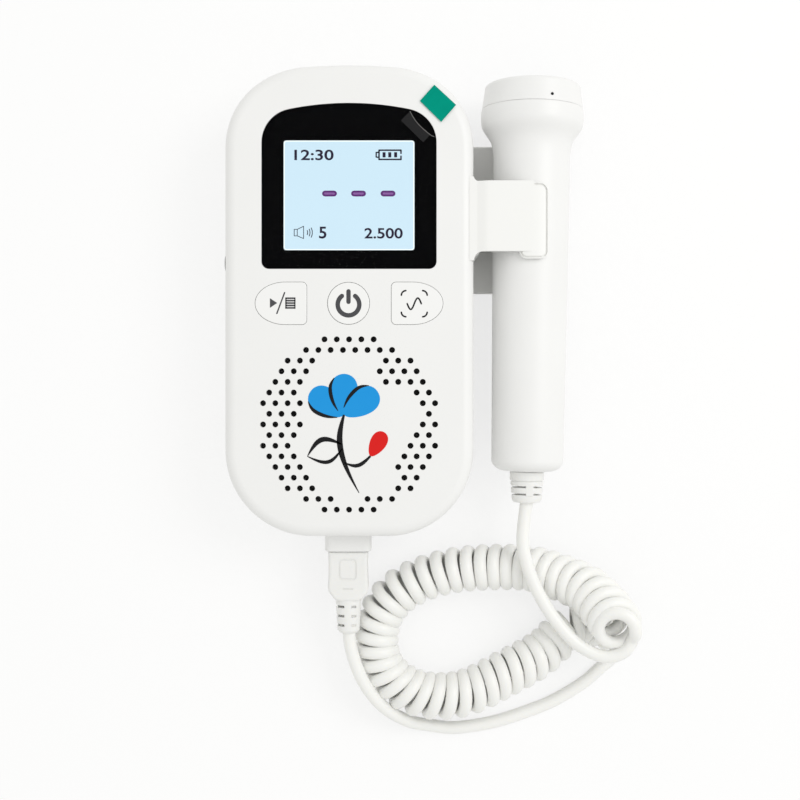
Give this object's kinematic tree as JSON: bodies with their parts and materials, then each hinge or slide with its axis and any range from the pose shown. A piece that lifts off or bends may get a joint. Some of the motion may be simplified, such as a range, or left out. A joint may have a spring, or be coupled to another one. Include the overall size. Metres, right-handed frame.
{
  "type": "fetal doppler",
  "caption": "Pocket fetal doppler: a display unit with face buttons and a speaker grille, a hand probe in a side holder, and a curly cord to a plug in the foot end.",
  "frame": {"origin": "centre of the unit's flat back, which lies on the table", "axes": "+Z out of the screen, +Y towards the screen end, +X towards the probe"},
  "size_m": [0.1255, 0.2072, 0.0328],
  "materials": {
    "white_abs": "fine moulded texture",
    "white_key": "smooth moulded",
    "black_glass": "polished, black printed from behind",
    "clear_film": "clear protective film",
    "green_film": "printed film",
    "blue_display": "liquid crystal display",
    "white_frame": "moulded",
    "green_board": "solder mask",
    "black_plastic": "moulded",
    "steel": "plain",
    "nickel": "nickel plated",
    "paper_cone": "paper",
    "ferrite": "sintered",
    "foam": "foam",
    "cell_jacket": "printed jacket",
    "grey_face": "polished resin",
    "ceramic": "fired ceramic",
    "seal_rubber": "moulded",
    "white_pvc": "satin cord jacket"
  },
  "bodies": {
    "unit": {"front_shell": "white_abs", "rear_shell": "white_abs", "window_lens": "black_glass", "screen_film": "clear_film", "film_tab": "green_film", "display_panel": "blue_display", "display_frame": "white_frame", "main_board": "green_board", "menu_switch": "black_plastic", "power_switch": "black_plastic", "mode_switch": "black_plastic", "key_board": "green_board", "headphone_jack": "black_plastic", "speaker_basket": "steel", "speaker_cone": "paper_cone", "speaker_magnet": "ferrite", "speaker_gasket": "foam", "battery_left": "cell_jacket", "battery_right": "cell_jacket", "battery_bridge_plate": "nickel", "battery_plus_contact": "nickel", "battery_minus_contact": "nickel", "battery_spring_left": "steel", "battery_spring_right": "steel", "case_screw_1": "steel", "case_screw_2": "steel", "case_screw_3": "steel", "case_screw_4": "steel", "socket_housing": "white_abs", "socket_tongue": "black_plastic", "plug_body": "white_pvc", "plug_nose": "nickel", "plug_boot": "white_pvc", "probe_holder": "white_abs", "holder_screw_1": "steel", "holder_screw_2": "steel", "cord_lead_probe": "white_pvc", "cord_coil": "white_pvc", "cord_lead_plug": "white_pvc"},
    "probe": {"probe_handle": "white_abs", "probe_cap": "white_abs", "transducer_face": "grey_face", "sending_crystal": "ceramic", "receiving_crystal": "ceramic", "probe_board": "green_board", "cap_seal": "seal_rubber", "probe_strain_relief": "white_pvc"},
    "menu_button_body": {"menu_button": "white_key"},
    "power_button_body": {"power_button": "white_key"},
    "mode_button_body": {"mode_button": "white_key"},
    "volume_up_key_body": {"volume_up_key": "white_key"},
    "volume_down_key_body": {"volume_down_key": "white_key"},
    "battery_door_body": {"battery_door": "white_abs"}
  },
  "joints": [
    {"name": "probe_slide", "type": "slide", "parent": "unit", "child": "probe", "axis": [0.0148, 0.9999, 0], "range_m": [0, 0.1], "deforming": ["cord_lead_probe"]},
    {"name": "menu_button_press", "type": "slide", "parent": "unit", "child": "menu_button_body", "axis": [0, 0, -1], "range_m": [0, 0.0004], "stiffness_N_per_m": 400},
    {"name": "power_button_press", "type": "slide", "parent": "unit", "child": "power_button_body", "axis": [0, 0, -1], "range_m": [0, 0.0004], "stiffness_N_per_m": 400},
    {"name": "mode_button_press", "type": "slide", "parent": "unit", "child": "mode_button_body", "axis": [0, 0, -1], "range_m": [0, 0.0004], "stiffness_N_per_m": 400},
    {"name": "volume_up_key_press", "type": "slide", "parent": "unit", "child": "volume_up_key_body", "axis": [1, 0, 0], "range_m": [0, 0.0004], "stiffness_N_per_m": 400},
    {"name": "volume_down_key_press", "type": "slide", "parent": "unit", "child": "volume_down_key_body", "axis": [1, 0, 0], "range_m": [0, 0.0004], "stiffness_N_per_m": 400},
    {"name": "battery_door_slide", "type": "slide", "parent": "unit", "child": "battery_door_body", "axis": [0, -1, 0], "range_m": [0, 0.008]}
  ]
}
